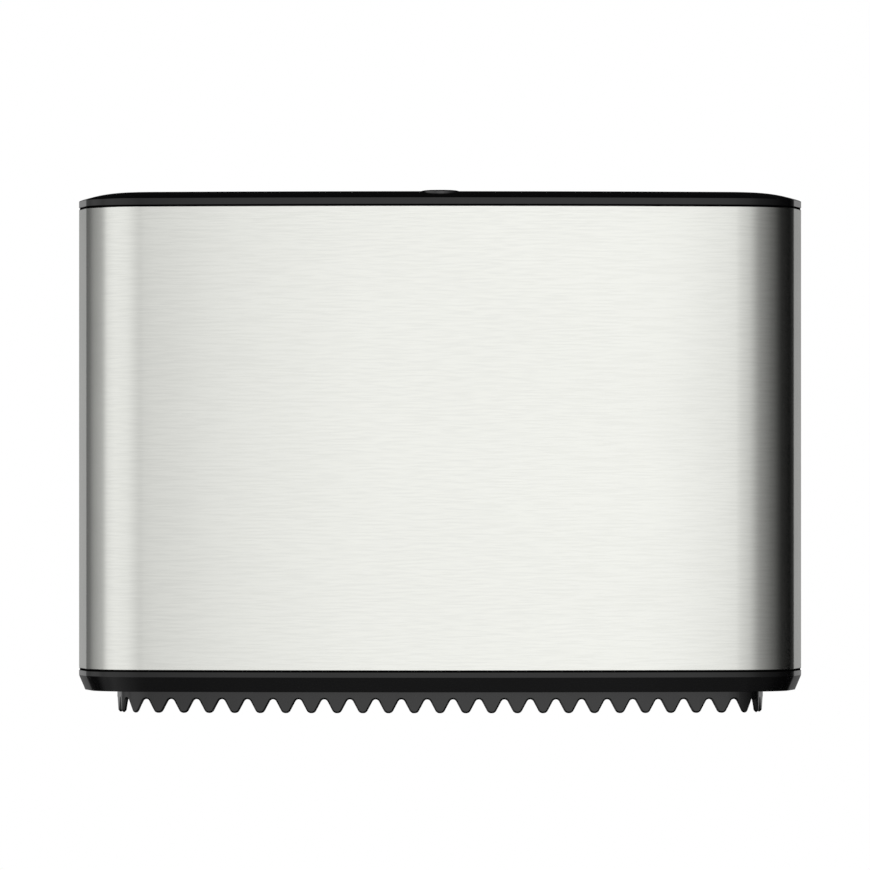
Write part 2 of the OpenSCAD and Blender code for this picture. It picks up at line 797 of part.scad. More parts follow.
// Hub that turns on a spindle: a sleeve in a tube with fins, and a disc behind the roll
module hub(c, shaft_r, tube_r, fin_r, disc_r) {
    l = hub_rear_y - hub_front(c) - moving_gap;
    sleeve_r = shaft_r + hub_wall_t;
    half = hub_wall_t / 2;
    web_end = l - hub_wall_t;
    translate([c.x, hub_rear_y, c.y]) rotate([90, 0, 0]) difference() {
        union() {
            cylinder(h = hub_wall_t, r = disc_r, $fn = round_fn);
            cylinder(h = l, r = sleeve_r, $fn = round_fn);
            difference() {
                cylinder(h = l, r = tube_r, $fn = round_fn);
                translate([0, 0, hub_wall_t]) cylinder(h = l, r = tube_r - hub_wall_t, $fn = round_fn);
            }
            for (k = [0 : fin_count - 1]) {
                rotate([0, 0, 90 + 360 * k / fin_count]) rotate([90, 0, 0])
                    translate([0, 0, -half]) linear_extrude(hub_wall_t)
                    polygon([
                        [sleeve_r - half, half], [fin_r, half], [fin_r, web_end - fin_r + tube_r],
                        [tube_r - half, web_end + half], [sleeve_r - half, web_end + half]
                    ]);
            }
        }
        translate([0, 0, -over]) cylinder(h = l + 2 * over, r = shaft_r + running_gap, $fn = round_fn);
    }
}

// Cap pressed on a spindle's end, which keeps the hub on
module end_cap(c, shaft_r, r) {
    front = hub_front(c);
    edge = over;
    translate([c.x, front, c.y]) rotate([90, 0, 0]) difference() {
        rotate_extrude($fn = round_fn) polygon([
            [0, 0], [r, 0], [r, hub_end_l], [r - edge, hub_end_l + edge], [0, hub_end_l + edge]
        ]);
        translate([0, 0, -over]) cylinder(h = hub_end_l + over, r = shaft_r, $fn = round_fn);
    }
}

module main_spindle() {
    color("silver") spindle(main_c, spindle_r, foot_r);
}

module main_spindle_screws() {
    color("gainsboro") foot_screws(main_c, foot_r);
}

module main_hub() {
    color([0.5, 0.52, 0.54]) hub(main_c, spindle_r, hub_tube_r, hub_fin_r, hub_disc_r);
}

module main_end_cap() {
    color([0.15, 0.15, 0.16]) end_cap(main_c, spindle_r, end_cap_r);
}

module brake_washer() {
    color("ivory") translate([main_c.x, hub_rear_y + washer_t, main_c.y]) rotate([90, 0, 0]) difference() {
        cylinder(h = washer_t - leaf, r = brake_spring_r + brake_wire, $fn = round_fn);
        translate([0, 0, -over]) cylinder(h = washer_t + 2 * over, r = spindle_r + running_gap, $fn = round_fn);
    }
}

module brake_spring() {
    h = brake_gap - washer_t;
    color("lightgray") translate([main_c.x, foot_y - foot_t, main_c.y]) rotate([90, 0, 0])
        coil(brake_spring_r, brake_wire, brake_turns, h - leaf);
}

module reserve_peg() {
    color("silver") {
        spindle(stub_c, peg_r, peg_foot_r);
        forward(stub_c.x, foot_y - foot_t, stub_c.y, peg_r + wall_t, brake_gap - leaf);
    }
}

module reserve_peg_screws() {
    color("gainsboro") foot_screws(stub_c, peg_foot_r);
}

module reserve_hub() {
    color([0.5, 0.52, 0.54]) hub(stub_c, peg_r, peg_tube_r, peg_fin_r, peg_disc_r);
}

module reserve_end_cap() {
    color([0.15, 0.15, 0.16]) end_cap(stub_c, peg_r, peg_tube_r - hub_wall_t);
}

// ---------------------------------------------------------------- lock and latch

button_top = crown_top + button_rise;
rim_top = cap_under - leaf;
button_end = cap_under - button_depth;
nose_r = lever_t / 2;
nose_y = button_y + nose_back;
pivot_y = nose_y + latch_front_arm;
pivot_z = button_end - pivot_drop;
nose_z = button_end - nose_r - leaf;
latch_floor = button_end - bracket_drop;
bracket_in = bracket_w / 2;
bracket_front = button_y - norm([cam_reach, cam_w / 2]) - moving_gap - bracket_t;
bracket_rear = pivot_y + lever_t + bracket_t;
floor_rear = pivot_y - lever_t;
spring_y = pivot_y - latch_front_arm / 2;
spring_top = pivot_z + over;
spring_seat_r = latch_spring_r + latch_wire;
cam_top = button_end - cam_drop;
hook_y = pivot_y + latch_rear_arm;
hook_end = pivot_z - lever_t;
lip_top = hook_end + hook_grip;
keeper_face = hook_y - moving_gap;
keeper_floor = lip_top - keeper_lip;
keeper_back = hook_y + hook_l + lever_t;

module bracket_screw_places() {
    for (y = [button_y - bracket_in / 2, pivot_y]) {
        both_sides() translate([bracket_in + bracket_t + bracket_flange / 2, y, cap_under]) children();
    }
}

module keeper_screw_places() {
    both_sides() translate([keeper_w / 4, keeper_back + keeper_leaf / 2, roof_under]) children();
}

module latch_bracket() {
    outer = bracket_in + bracket_t;
    under = cap_under - bracket_t;
    color([0.16, 0.16, 0.17]) difference() {
        union() {
            both_sides() {
                box([bracket_in, bracket_front, latch_floor], [outer, bracket_rear, cap_under]);
                box([bracket_in, bracket_front, under], [outer + bracket_flange, bracket_rear, cap_under]);
            }
            box([-outer, bracket_front, latch_floor - bracket_t], [outer, floor_rear, latch_floor]);
            box([-outer, bracket_front, latch_floor - bracket_t],
                [outer, bracket_front + bracket_t, button_end - button_travel - over]);
            box([-cam_w / 2, bracket_front, latch_floor - leaf],
                [cam_w / 2, bracket_front + 2 * bracket_t, cam_top - cam_t - seat_gap]);
            translate([0, spring_y, latch_floor - leaf])
                cylinder(h = over, r = latch_spring_r - latch_wire, $fn = small_fn);
        }
        across(-outer - over, outer + over, pivot_y, pivot_z, pivot_pin_r);
        bracket_screw_places() {
            translate([0, 0, -bracket_t - over])
                cylinder(h = bracket_t + 2 * over, r = screw_r + seat_gap, $fn = small_fn);
        }
    }
}

module bracket_screws() {
    color("gainsboro") bracket_screw_places() {
        translate([0, 0, -bracket_t]) mirror([0, 0, 1]) screw(bracket_t + screw_bite);
    }
}

module latch_pivot_pin() {
    color("lightgray") {
        across(-bracket_in - bracket_t, bracket_in + bracket_t, pivot_y, pivot_z, pivot_pin_r);
    }
}

module latch_lever() {
    prong_x0 = tail_r + moving_gap + over;
    prong_x1 = prong_x0 + lever_t - over;
    arm_front = button_y + tail_r + cam_w + over;
    color([0.75, 0.75, 0.72]) difference() {
        union() {
            across(moving_gap - bracket_in, bracket_in - moving_gap, pivot_y, pivot_z, lever_t);
            // rear arm and hook
            box([-lever_w / 2, pivot_y, pivot_z], [lever_w / 2, hook_y + hook_l, pivot_z + lever_t - leaf]);
            box([-lever_w / 2, hook_y, hook_end], [lever_w / 2, hook_y + hook_l, pivot_z + over]);
            // front arm, which spreads into two prongs under the button
            box([-lever_w / 2, arm_front, spring_top], [lever_w / 2, pivot_y, spring_top + lever_t - over]);
            box([-prong_x1, arm_front, spring_top], [prong_x1, arm_front + lever_t, nose_z]);
            both_sides() {
                box([prong_x0, nose_y, nose_z - nose_r], [prong_x1, arm_front + lever_t, nose_z]);
                across(prong_x0, prong_x1, nose_y, nose_z, nose_r);
            }
        }
        across(-bracket_in, bracket_in, pivot_y, pivot_z, pivot_pin_r + running_gap);
    }
}

module latch_spring() {
    color("lightgray") translate([0, spring_y, latch_floor])
        coil(latch_spring_r, latch_wire, latch_turns, spring_top - latch_floor - leaf);
}

module latch_keeper() {
    half = keeper_w / 2;
    color("lightgray") difference() {
        union() {
            box([-half, keeper_face - keeper_t, keeper_floor - keeper_t], [half, keeper_face, lip_top]);
            box([-half, keeper_face - keeper_t, keeper_floor - keeper_t],
                [half, keeper_back + keeper_t, keeper_floor]);
            box([-half, keeper_back, keeper_floor - keeper_t], [half, keeper_back + keeper_t, roof_under]);
            box([-half, keeper_back, roof_under - keeper_t], [half, keeper_back + keeper_leaf, roof_under]);
        }
        keeper_screw_places() {
            translate([0, 0, -keeper_t - over])
                cylinder(h = keeper_t + 2 * over, r = screw_r + seat_gap, $fn = small_fn);
        }
    }
}

module keeper_screws() {
    color("gainsboro") keeper_screw_places() {
        translate([0, 0, -keeper_t]) mirror([0, 0, 1]) screw(keeper_t + screw_bite - seat_gap);
    }
}

module lock_button() {
    rim_r = button_r + button_rim;
    edge_z = button_top - button_edge_h;
    edge_steps = 6;
    color([0.05, 0.05, 0.055]) translate([0, button_y, 0]) difference() {
        rotate_extrude($fn = round_fn) polygon(concat(
            [
                [0, button_end], [button_r - over, button_end], [button_r, button_end + over],
                [button_r, rim_top - button_rim_t], [rim_r, rim_top - button_rim_t], [rim_r, rim_top],
                [button_r, rim_top], [button_r, edge_z]
            ],
            [for (k = [1 : edge_steps])
                let (a = 90 * k / edge_steps)
                [button_flat_r + (button_r - button_flat_r) * cos(a), edge_z + button_edge_h * sin(a)]],
            [[0, button_top]]
        ));
        translate([0, 0, button_end - over])
            cylinder(h = button_top - button_end + 2 * over, r = plug_r + running_gap, $fn = round_fn);
    }
}

module key_plug() {
    tail_end = cam_top - cam_t;
    face = button_top - seat_gap;
    color("darkgray") translate([0, button_y, 0]) difference() {
        union() {
            translate([0, 0, button_end]) cylinder(h = face - button_end, r = plug_r, $fn = round_fn);
            translate([0, 0, tail_end]) cylinder(h = button_end - tail_end + leaf, r = tail_r, $fn = small_fn);
        }
        translate([-key_slot_l / 2, -key_slot_w / 2, face - key_slot_d])
            cube([key_slot_l, key_slot_w, key_slot_d + over]);
    }
}

module locking_cam() {
    color("lightgray") translate([0, button_y, cam_top - cam_t]) difference() {
        union() {
            cylinder(h = cam_t, r = tail_r + wall_t / 2, $fn = small_fn);
            translate([0, -cam_w / 2, 0]) cube([cam_reach, cam_w, cam_t]);
        }
        translate([0, 0, -over]) cylinder(h = cam_t + 2 * over, r = tail_r, $fn = small_fn);
    }
}

// ---------------------------------------------------------------- pieces

back_plate();
latch_keeper();
keeper_screws();
hinge_pin_left();
hinge_pin_right();
main_spindle();
main_spindle_screws();
main_end_cap();
brake_spring();
brake_washer();
reserve_peg();
reserve_peg_screws();
reserve_end_cap();
steel_front();
cover_liner();
top_cap();
cap_screws();
bottom_trim();
trim_screws();
tear_skirt();
skirt_screws();
latch_bracket();
bracket_screws();
latch_pivot_pin();
latch_spring();
lock_button();
key_plug();
locking_cam();
latch_lever();
main_hub();
reserve_hub();
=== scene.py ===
"""Looks of the jumbo toilet roll dispenser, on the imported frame.

Metres: X runs across, Y into the wall and Z up.
"""

import json
import math

import bmesh
import bpy
from mathutils import Matrix, Vector


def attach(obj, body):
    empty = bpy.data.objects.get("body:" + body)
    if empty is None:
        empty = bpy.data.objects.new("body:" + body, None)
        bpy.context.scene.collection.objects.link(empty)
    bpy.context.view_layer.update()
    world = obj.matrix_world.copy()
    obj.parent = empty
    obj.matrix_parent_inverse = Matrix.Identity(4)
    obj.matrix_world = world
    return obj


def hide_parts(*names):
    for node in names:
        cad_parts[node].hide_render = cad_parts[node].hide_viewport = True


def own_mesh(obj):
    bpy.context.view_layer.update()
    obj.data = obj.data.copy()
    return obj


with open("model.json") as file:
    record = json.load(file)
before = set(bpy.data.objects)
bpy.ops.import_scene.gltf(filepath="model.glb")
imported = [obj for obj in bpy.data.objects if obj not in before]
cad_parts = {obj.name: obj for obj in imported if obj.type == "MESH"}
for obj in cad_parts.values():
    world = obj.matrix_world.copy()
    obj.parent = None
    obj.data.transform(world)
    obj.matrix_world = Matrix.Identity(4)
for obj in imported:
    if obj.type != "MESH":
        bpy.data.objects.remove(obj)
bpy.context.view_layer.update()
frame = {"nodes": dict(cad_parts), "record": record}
body_of_node = {
    node: body
    for body, nodes in frame["record"]["behaviour"]["bodies"].items()
    for node in nodes
}
slot_of_node = {s["node"]: s["material_slot"] for s in frame["record"]["subparts"]}

MM = 0.001

# The cover's outline seen from above, as in the part's source: a wide bow, two corners and two
# straight sides
FRONT_Y = -133 * MM
REAR_Y = -58 * MM
HALF_W = 187.5 * MM
BOW_R = 870 * MM
CORNER_R = 38 * MM
FLARE = math.radians(8.8)
BOW_C = Vector((0, FRONT_Y + BOW_R, 0))
SIDE_OUT = Vector((math.cos(FLARE), -math.sin(FLARE), 0))
SIDE_BACK = Vector((math.sin(FLARE), math.cos(FLARE), 0))
CORNER_STEPS = 32
BOW_STEPS = 60


def right_corner():
    """Centre of the right corner's arc, which meets the bow and the straight side smoothly."""
    from_bow = Vector((HALF_W, REAR_Y, 0)) - BOW_C - CORNER_R * SIDE_OUT
    back = from_bow.dot(SIDE_BACK)
    reach = back + math.sqrt(back * back - from_bow.length_squared + (BOW_R - CORNER_R) ** 2)
    return BOW_C + from_bow - reach * SIDE_BACK


CORNER_C = right_corner()
BOW_ANGLE = math.asin(CORNER_C.x / (BOW_R - CORNER_R))
CORNER_TURN = math.pi / 2 - FLARE - BOW_ANGLE

# Levels on the front
STEEL_TOP = 119 * MM
STEEL_LOW = -119 * MM
CAP_LOW = 119.9 * MM
CAP_UNDER = 121.0 * MM
CAP_EDGE = 123.2 * MM
TRIM_LOW = -130.5 * MM

# The steel sheet, the cap's crown and walls, the gap between the two, how far the spacer reaches into
# the cap, and the button's place and the radius of its bore
SHEET = 0.8 * MM
CROWN_RISE = 3.9 * MM
CROWN_RUN = 24 * MM
CROWN_STEPS = 14
CAP_WALL = 3.0 * MM
CAP_REAR_WALL = 2 * MM
GAP_SETBACK = 0.4 * MM
OVERLAP = 0.3 * MM
BUTTON_Y = -113.5 * MM
BUTTON_BORE = 10.6 * MM
# How far a shape runs past what it cuts or is cut by
BEYOND = 50 * MM
POCKET_BEYOND = 1 * MM
BORE_LENGTH = 40 * MM

# Where the two springs start, their heights, mean radii, wires and turns
BRAKE_SEAT = (74.59 * MM, -11 * MM, 11.9 * MM)
BRAKE_H = 6.48 * MM
BRAKE_R = 9 * MM
BRAKE_WIRE = 1 * MM
BRAKE_TURNS = 3
LATCH_SEAT = (0, -99.5 * MM, 99.6 * MM)
LATCH_H = 6.98 * MM
LATCH_R = 3 * MM
LATCH_WIRE = 0.6 * MM
LATCH_TURNS = 4.5

# Points of a node's mesh nearer than MERGE are one, and so are points of a drawn outline nearer than
# TOUCH and faces that turn by less than FLAT
MERGE = 0.002 * MM
TOUCH = 0.0001 * MM
FLAT = math.radians(0.4)
# Rounding of a piece's edges, and the turn in degrees from which an edge counts as hard
EDGE = 0.25 * MM
HARD = 28.0

# Panels round the dispenser that its glossy faces mirror: degrees from the front to its right, and level
ROUND_STOPS = [
    (-180, 0.36), (-163, 0.36), (-158, 0.12), (-148, 0.14), (-136, 0.20), (-120, 0.45),
    (-108, 0.55), (-98, 0.51), (-86, 0.70), (-72, 0.76), (-50, 0.73), (-28, 0.56), (-22, 0.60),
    (-16, 0.76), (-6, 0.84), (18, 0.88), (24, 0.65), (44, 0.51), (60, 0.25), (84, 0.11),
    (108, 0.02), (134, 0.0), (157, 0.04), (164, 0.36), (180, 0.36),
]
# The same panels by their height: degrees above the horizon, and level
HEIGHT_STOPS = [
    (-90, 0.04), (-46, 0.14), (-36, 0.4), (-18, 0.8), (30, 0.8), (40, 1.0), (58, 1.0), (68, 0.1),
    (90, 0.0),
]
# Where they are dimmed, behind and above, then behind and below: how far back or up or down the
# direction points, from 0 to 1, and how much is taken away
BEHIND_ABOVE = [(0.0, 0.0), (0.3, 1.0)]
ABOVE_STOPS = [(0.03, 0.0), (0.12, 1.0)]
ABOVE_SHARE = 0.99
BEHIND_BELOW = [(0.0, 0.0), (0.5, 1.0)]
BELOW_STOPS = [(0.03, 0.0), (0.12, 0.8), (0.3, 0.95)]
# Strength of the panels, and of the even light on what isn't gloss
GLOSS_LIGHT = 1.5625
EVEN_LIGHT = 0.62

# The camera: its place, its lens in millimetres, and its shift in pixels of the photograph
CAMERA_AT = (0, -5.133, -0.0256)
CAMERA_LENS = 404.4
PHOTO_W = 870
SHIFT_X = -5.1
SHIFT_Y = 53.24
# Where the lamps aim, and the floor
LAMP_AIM = Vector((0, -60 * MM, 0))
FLOOR_AT = (0, -0.1, -0.9)
FLOOR_R = 1.1


# ------------------------------------------------------------------ mesh helpers

def linked(name, bm):
    """Turns the bmesh into an object of the scene."""
    mesh = bpy.data.meshes.new(name)
    bm.to_mesh(mesh)
    bm.free()
    thing = bpy.data.objects.new(name, mesh)
    bpy.context.collection.objects.link(thing)
    return thing


def new_piece(name, bm, body, *nodes):
    """Turns the bmesh into a piece that rides on the body and stands for the nodes."""
    piece = linked(name, bm)
    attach(piece, body)
    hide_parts(*nodes)
    return piece


def shade(bm, angle=HARD):
    """Smooth shading, with hard edges where two faces turn by more than the angle."""
    limit = math.radians(angle)
    for face in bm.faces:
        face.smooth = True
    for edge in bm.edges:
        edge.smooth = len(edge.link_faces) == 2 and edge.calc_face_angle(0.0) < limit


def soften(piece, width, segments, angle):
    """Small rounded edges on a finished piece."""
    edge = piece.modifiers.new("edge", "BEVEL")
    edge.width = width
    edge.segments = segments
    edge.limit_method = "ANGLE"
    edge.angle_limit = math.radians(angle)
    edge.harden_normals = True
    edge.use_clamp_overlap = True


def baked(piece):
    """Applies the piece's modifiers and shades the result."""
    bpy.context.view_layer.update()
    graph = bpy.context.evaluated_depsgraph_get()
    mesh = bpy.data.meshes.new_from_object(piece.evaluated_get(graph))
    piece.modifiers.clear()
    bm = bmesh.new()
    bm.from_mesh(mesh)
    bmesh.ops.remove_doubles(bm, verts=bm.verts[:], dist=MERGE / 2)
    shade(bm)
    bm.to_mesh(piece.data)
    bm.free()
    bpy.data.meshes.remove(mesh)


def carve(piece, shape, how="DIFFERENCE"):
    """Cuts the closed shape out of the piece, or joins it on."""
    bmesh.ops.recalc_face_normals(shape, faces=shape.faces[:])
    tool = linked("tool", shape)
    step = piece.modifiers.new("carve", "BOOLEAN")
    step.operation = how
    step.solver = "EXACT"
    step.object = tool
    baked(piece)
    bpy.data.objects.remove(tool)


def arc(bm, vert, centre, angle, steps):
    """Turns a vertex about an upright axis, drawing a chain of edges, and returns its last vertex."""
    spun = bmesh.ops.spin(
        bm, geom=[vert], cent=centre, axis=(0, 0, 1), dvec=(0, 0, 0), angle=angle, steps=steps,
        use_duplicate=False,
    )
    return [g for g in spun["geom_last"] if isinstance(g, bmesh.types.BMVert)][0]


def straight(bm, vert, to):
    """Draws one edge from the vertex to the point, and returns its far vertex."""
    grown = bmesh.ops.extrude_vert_indiv(bm, verts=[vert])["verts"][0]
    grown.co = to
    return grown


def outline_chain(bm, inset, rear, z):
    """Chain along the cover's outline, from the right rear end round the front to the left rear end."""
    up = Vector((0, 0, z))
    start = CORNER_C + (CORNER_R - inset) * SIDE_OUT
    rear_end = start + (rear - start.y) / SIDE_BACK.y * SIDE_BACK
    left_c = Vector((-CORNER_C.x, CORNER_C.y, 0))
    first = bm.verts.new(rear_end + up)
    vert = straight(bm, first, start + up)
    vert = arc(bm, vert, CORNER_C, -CORNER_TURN, CORNER_STEPS)
    vert = arc(bm, vert, BOW_C, -2 * BOW_ANGLE, BOW_STEPS)
    vert = arc(bm, vert, left_c, -CORNER_TURN, CORNER_STEPS)
    last = straight(bm, vert, Vector((-rear_end.x, rear_end.y, z)))
    bmesh.ops.remove_doubles(bm, verts=bm.verts[:], dist=TOUCH)
    return first, last


def moved_up(bm, geom, height):
    """Raises the vertices among the geometry by the height."""
    verts = [g for g in geom if isinstance(g, bmesh.types.BMVert)]
    bmesh.ops.translate(bm, verts=verts, vec=(0, 0, height))


def outline_block(inset, rear, low, high):
    """Solid of the cover's outline between two levels, as a bmesh, and its top face."""
    bm = bmesh.new()
    first, last = outline_chain(bm, inset, rear, low)
    bm.edges.new((last, first))
    floor = bmesh.ops.contextual_create(bm, geom=bm.edges[:])["faces"]
    grown = bmesh.ops.extrude_face_region(bm, geom=floor)["geom"]
    moved_up(bm, grown, high - low)
    return bm, [g for g in grown if isinstance(g, bmesh.types.BMFace)]


def node_shape(node):
    """The CAD node's shape as a bmesh, with doubled points merged and flat faces joined."""
    bm = bmesh.new()
    bm.from_mesh(frame["nodes"][node].data)
    bmesh.ops.remove_doubles(bm, verts=bm.verts[:], dist=MERGE)
    bmesh.ops.dissolve_limit(
        bm, angle_limit=FLAT, verts=bm.verts[:], edges=bm.edges[:], use_dissolve_boundaries=False,
    )
    return bm


# ------------------------------------------------------------------ shader helpers

def feed(tree, value, socket):
    """Sets the socket to a number, or links it to another node's output."""
    if isinstance(value, (int, float)):
        socket.default_value = value
    else:
        tree.links.new(value, socket)


def calc(tree, operation, *values):
    """One step of arithmetic on numbers or outputs."""
    step = tree.nodes.new("ShaderNodeMath")
    step.operation = operation
    for socket, value in zip(step.inputs, values):
        feed(tree, value, socket)
    return step.outputs[0]


def levels(tree, value, stops):
    """Maps a value to grey levels at the given stops."""
    band = tree.nodes.new("ShaderNodeValToRGB")
    points = band.color_ramp.elements
    while len(points) < len(stops):
        points.new(0.5)
    for point, (at, level) in zip(points, stops):
        point.position = at
        point.color = (level, level, level, 1)
    tree.links.new(value, band.inputs["Fac"])
    return band.outputs["Color"]


def blend(tree, factor, first, second):
    """Mixes two shaders."""
    mix = tree.nodes.new("ShaderNodeMixShader")
    tree.links.new(factor, mix.inputs["Fac"])
    tree.links.new(first, mix.inputs[1])
    tree.links.new(second, mix.inputs[2])
    return mix.outputs["Shader"]


def background(tree, strength):
    """White light of the given strength."""
    light = tree.nodes.new("ShaderNodeBackground")
    light.inputs["Color"].default_value = (1, 1, 1, 1)
    feed(tree, strength, light.inputs["Strength"])
    return light.outputs["Background"]


def material(name):
    """A new material, with its tree, its shader and its output."""
    made = bpy.data.materials.new(name)
    made.use_nodes = True
    tree = made.node_tree
    tree.nodes.clear()
    shader = tree.nodes.new("ShaderNodeBsdfPrincipled")
    out = tree.nodes.new("ShaderNodeOutputMaterial")
    tree.links.new(shader.outputs["BSDF"], out.inputs["Surface"])
    return made, tree, shader, out


def grain(tree, scale, stretch=(1, 1, 1), detail=4.0, rough=0.55):
    """Noise on the piece's own coordinates, and its value output."""
    place = tree.nodes.new("ShaderNodeTexCoord")
    turn = tree.nodes.new("ShaderNodeMapping")
    turn.inputs["Scale"].default_value = stretch
    noise = tree.nodes.new("ShaderNodeTexNoise")
    noise.inputs["Scale"].default_value = scale
    noise.inputs["Detail"].default_value = detail
    noise.inputs["Roughness"].default_value = rough
    tree.links.new(place.outputs["Object"], turn.inputs["Vector"])
    tree.links.new(turn.outputs["Vector"], noise.inputs["Vector"])
    return noise.outputs["Fac"]


def spread(tree, value, low, high, start=0.3, end=0.7):
    """Maps a noise value to a range."""
    span = tree.nodes.new("ShaderNodeMapRange")
    span.inputs["From Min"].default_value = start
    span.inputs["From Max"].default_value = end
    span.inputs["To Min"].default_value = low
    span.inputs["To Max"].default_value = high
    tree.links.new(value, span.inputs["Value"])
    return span.outputs["Result"]


def tones(tree, value, dark, light, start=0.3, end=0.7):
    """Maps a noise value to a colour between two tones."""
    ramp = tree.nodes.new("ShaderNodeValToRGB")
    ramp.color_ramp.elements[0].position = start
    ramp.color_ramp.elements[0].color = (*dark, 1)
    ramp.color_ramp.elements[1].position = end
    ramp.color_ramp.elements[1].color = (*light, 1)
    tree.links.new(value, ramp.inputs["Fac"])
    return ramp.outputs["Color"]


def relief(tree, value, strength, distance):
    """Fine bumps from a noise value."""
    bump = tree.nodes.new("ShaderNodeBump")
    bump.inputs["Strength"].default_value = strength
    bump.inputs["Distance"].default_value = distance
    tree.links.new(value, bump.inputs["Height"])
    return bump.outputs["Normal"]


# ------------------------------------------------------------------ finishes

def brushed_steel(name, colour, rough, along=(60, 60, 1050), aniso=0.85, deep=0.01 * MM):
    """Sheet brushed across: fine streaks that run along X and Y and change quickly up and down."""
    made, tree, shader, _ = material(name)
    link = tree.links.new
    streaks = grain(tree, 1.0, stretch=along, detail=1.6, rough=0.75)
    clouds = grain(tree, 9.0, stretch=(1, 1, 2), detail=3.0)
    dark = [c * 0.945 for c in colour]
    link(tones(tree, streaks, dark, colour, start=0.35, end=0.6), shader.inputs["Base Color"])
    streak_rough = spread(tree, streaks, -0.01, 0.016)
    cloud_rough = spread(tree, clouds, rough - 0.012, rough + 0.012)
    link(calc(tree, "ADD", streak_rough, cloud_rough), shader.inputs["Roughness"])
    link(relief(tree, streaks, 0.1, deep), shader.inputs["Normal"])
    shader.inputs["Metallic"].default_value = 1.0
    shader.inputs["Anisotropic"].default_value = aniso
    shader.inputs["Anisotropic Rotation"].default_value = 0.25
    return made


def plain_metal(name, colour, rough):
    """Small turned, plated or cast metal pieces, dulled by handling."""
    made, tree, shader, _ = material(name)
    link = tree.links.new
    spots = grain(tree, 260.0, detail=5.0)
    dull = grain(tree, 45.0, detail=3.0)
    dark = [c * 0.82 for c in colour]
    link(tones(tree, dull, dark, colour), shader.inputs["Base Color"])
    link(spread(tree, spots, rough - 0.07, rough + 0.09), shader.inputs["Roughness"])
    link(relief(tree, spots, 0.2, 0.03 * MM), shader.inputs["Normal"])
    shader.inputs["Metallic"].default_value = 0.7
    return made


def plastic(name, colour, rough, texture=0.15, scale=1800.0, vary=0.25, gloss=0.5):
    """Moulded plastic: an even colour with faint flow marks, and a fine skin that breaks the gloss."""
    made, tree, shader, _ = material(name)
    link = tree.links.new
    skin = grain(tree, scale, detail=3.0)
    flow = grain(tree, 14.0, stretch=(1, 1, 1.6))
    dark = [c * (1 - vary) for c in colour]
    link(tones(tree, flow, dark, colour), shader.inputs["Base Color"])
    link(spread(tree, flow, rough * 0.85, rough * 1.2), shader.inputs["Roughness"])
    link(relief(tree, skin, texture, 0.02 * MM), shader.inputs["Normal"])
    shader.inputs["Specular IOR Level"].default_value = gloss
    return made


finishes = {
    "front_steel": brushed_steel("front steel", (0.86, 0.867, 0.824), 0.24),
    "cap_black": plastic("cap black", (0.0025, 0.0025, 0.0027), 0.08, 0.04, gloss=0.43),
    "button_black": plastic("button black", (0.010, 0.010, 0.011), 0.12, 0.04, gloss=0.9),
    "trim_black": plastic("trim black", (0.0025, 0.0025, 0.0027), 0.12, 0.06, gloss=0.43),
    "skirt_grey": plastic("skirt grey", (0.0035, 0.0035, 0.0038), 0.16, 0.06, gloss=0.62),
    "housing_black": plastic("housing black", (0.022, 0.022, 0.024), 0.42, 0.4, 900.0),
    "liner_black": plastic("liner black", (0.026, 0.026, 0.028), 0.45, 0.4, 900.0),
    "bracket_black": plastic("bracket black", (0.030, 0.030, 0.033), 0.38, 0.35, 700.0),
    # painted shade: dull black with almost no gloss for the slanted rims that outline the skirt's teeth
    "rim_painted_shade": plastic("rim painted shade", (0.002, 0.002, 0.0022), 0.8, 0.2, gloss=0.05),
    # painted shade: dull black without gloss for the spacer's faces in the narrow gaps beside the steel
    "gap_painted_shade": plastic("gap painted shade", (0.0012, 0.0012, 0.0013), 0.9, 0.2, gloss=0.0),
    "zinc": plain_metal("zinc plate", (0.62, 0.62, 0.60), 0.32),
    "spring_steel": plain_metal("spring wire", (0.50, 0.50, 0.49), 0.28),
    "bare_steel": plain_metal("turned steel", (0.58, 0.58, 0.57), 0.25),
    "plug_metal": plain_metal("nickel plug", (0.50, 0.50, 0.51), 0.22),
    "lever_metal": plain_metal("cast lever", (0.50, 0.50, 0.49), 0.42),
    "hub_grey": plastic("hub grey", (0.26, 0.27, 0.28), 0.38, 0.3, 700.0, 0.08),
    "washer_white": plastic("nylon washer", (0.74, 0.72, 0.66), 0.45, 0.25, 700.0, 0.06),
}


def coat(piece, *slots):
    """Gives the piece its finishes, the first one for every face that isn't set to the second."""
    piece.data.materials.clear()
    for slot in slots:
        piece.data.materials.append(finishes[slot])


# ------------------------------------------------------------------ pieces

def dressed(node, angle=HARD):
    """The CAD node's own shape, merged, smoothly shaded and with small rounded edges."""
    bm = node_shape(node)
    shade(bm, angle)
    piece = new_piece(node + "_finish", bm, body_of_node[node], node)
    soften(piece, width=EDGE, segments=2, angle=angle)
    coat(piece, slot_of_node[node])
    return piece


def front_sheet():
    """The steel front: one sheet bent round the corners, with rolled upper and lower edges."""
    bm = bmesh.new()
    outline_chain(bm, 0, REAR_Y, STEEL_LOW)
    grown = bmesh.ops.extrude_edge_only(bm, edges=bm.edges[:])["geom"]
    moved_up(bm, grown, STEEL_TOP - STEEL_LOW)
    bmesh.ops.recalc_face_normals(bm, faces=bm.faces[:])
    centre = min(bm.faces, key=lambda f: f.calc_center_median().y)
    if centre.normal.y > 0:
        bmesh.ops.reverse_faces(bm, faces=bm.faces[:])
    bmesh.ops.solidify(bm, geom=bm.faces[:], thickness=SHEET)
    bmesh.ops.recalc_face_normals(bm, faces=bm.faces[:])
    shade(bm, angle=40)
    piece = new_piece("front_sheet", bm, "cover", "steel_front")
    soften(piece, width=0.35 * MM, segments=3, angle=50)
    coat(piece, "front_steel")


